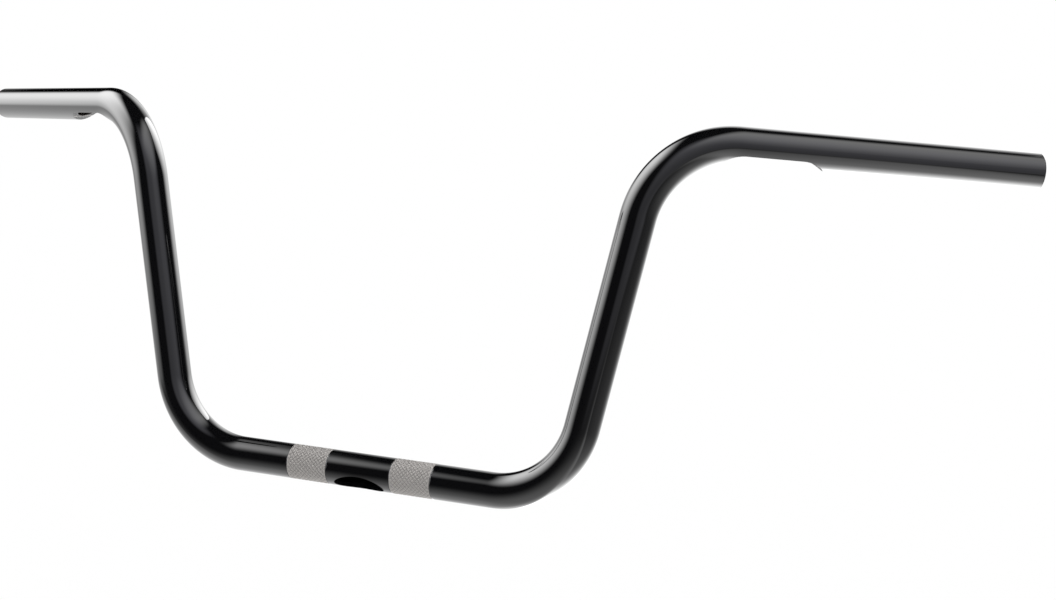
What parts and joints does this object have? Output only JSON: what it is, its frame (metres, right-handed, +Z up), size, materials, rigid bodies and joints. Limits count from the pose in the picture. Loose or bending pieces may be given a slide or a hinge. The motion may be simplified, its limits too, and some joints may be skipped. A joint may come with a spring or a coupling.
{
  "type": "ape hanger handlebar",
  "caption": "High-rise motorbike handlebar bent from one steel tube, with knurled clamp bands, a wiring hole in its base and wiring notches under both grips.",
  "frame": {"origin": "centre of the base, on the tube's centre line, midway between the two clamp bands", "axes": "+X along the base to the right-hand grip in the picture, +Y rearwards to the rider, +Z up"},
  "size_m": [0.8862, 0.1802, 0.2741],
  "materials": {
    "gloss_black": "smooth gloss black coating",
    "bare_steel": "dull bare steel of the knurled bands"
  },
  "bodies": {
    "root": {"handlebar": "gloss_black"}
  },
  "joints": []
}
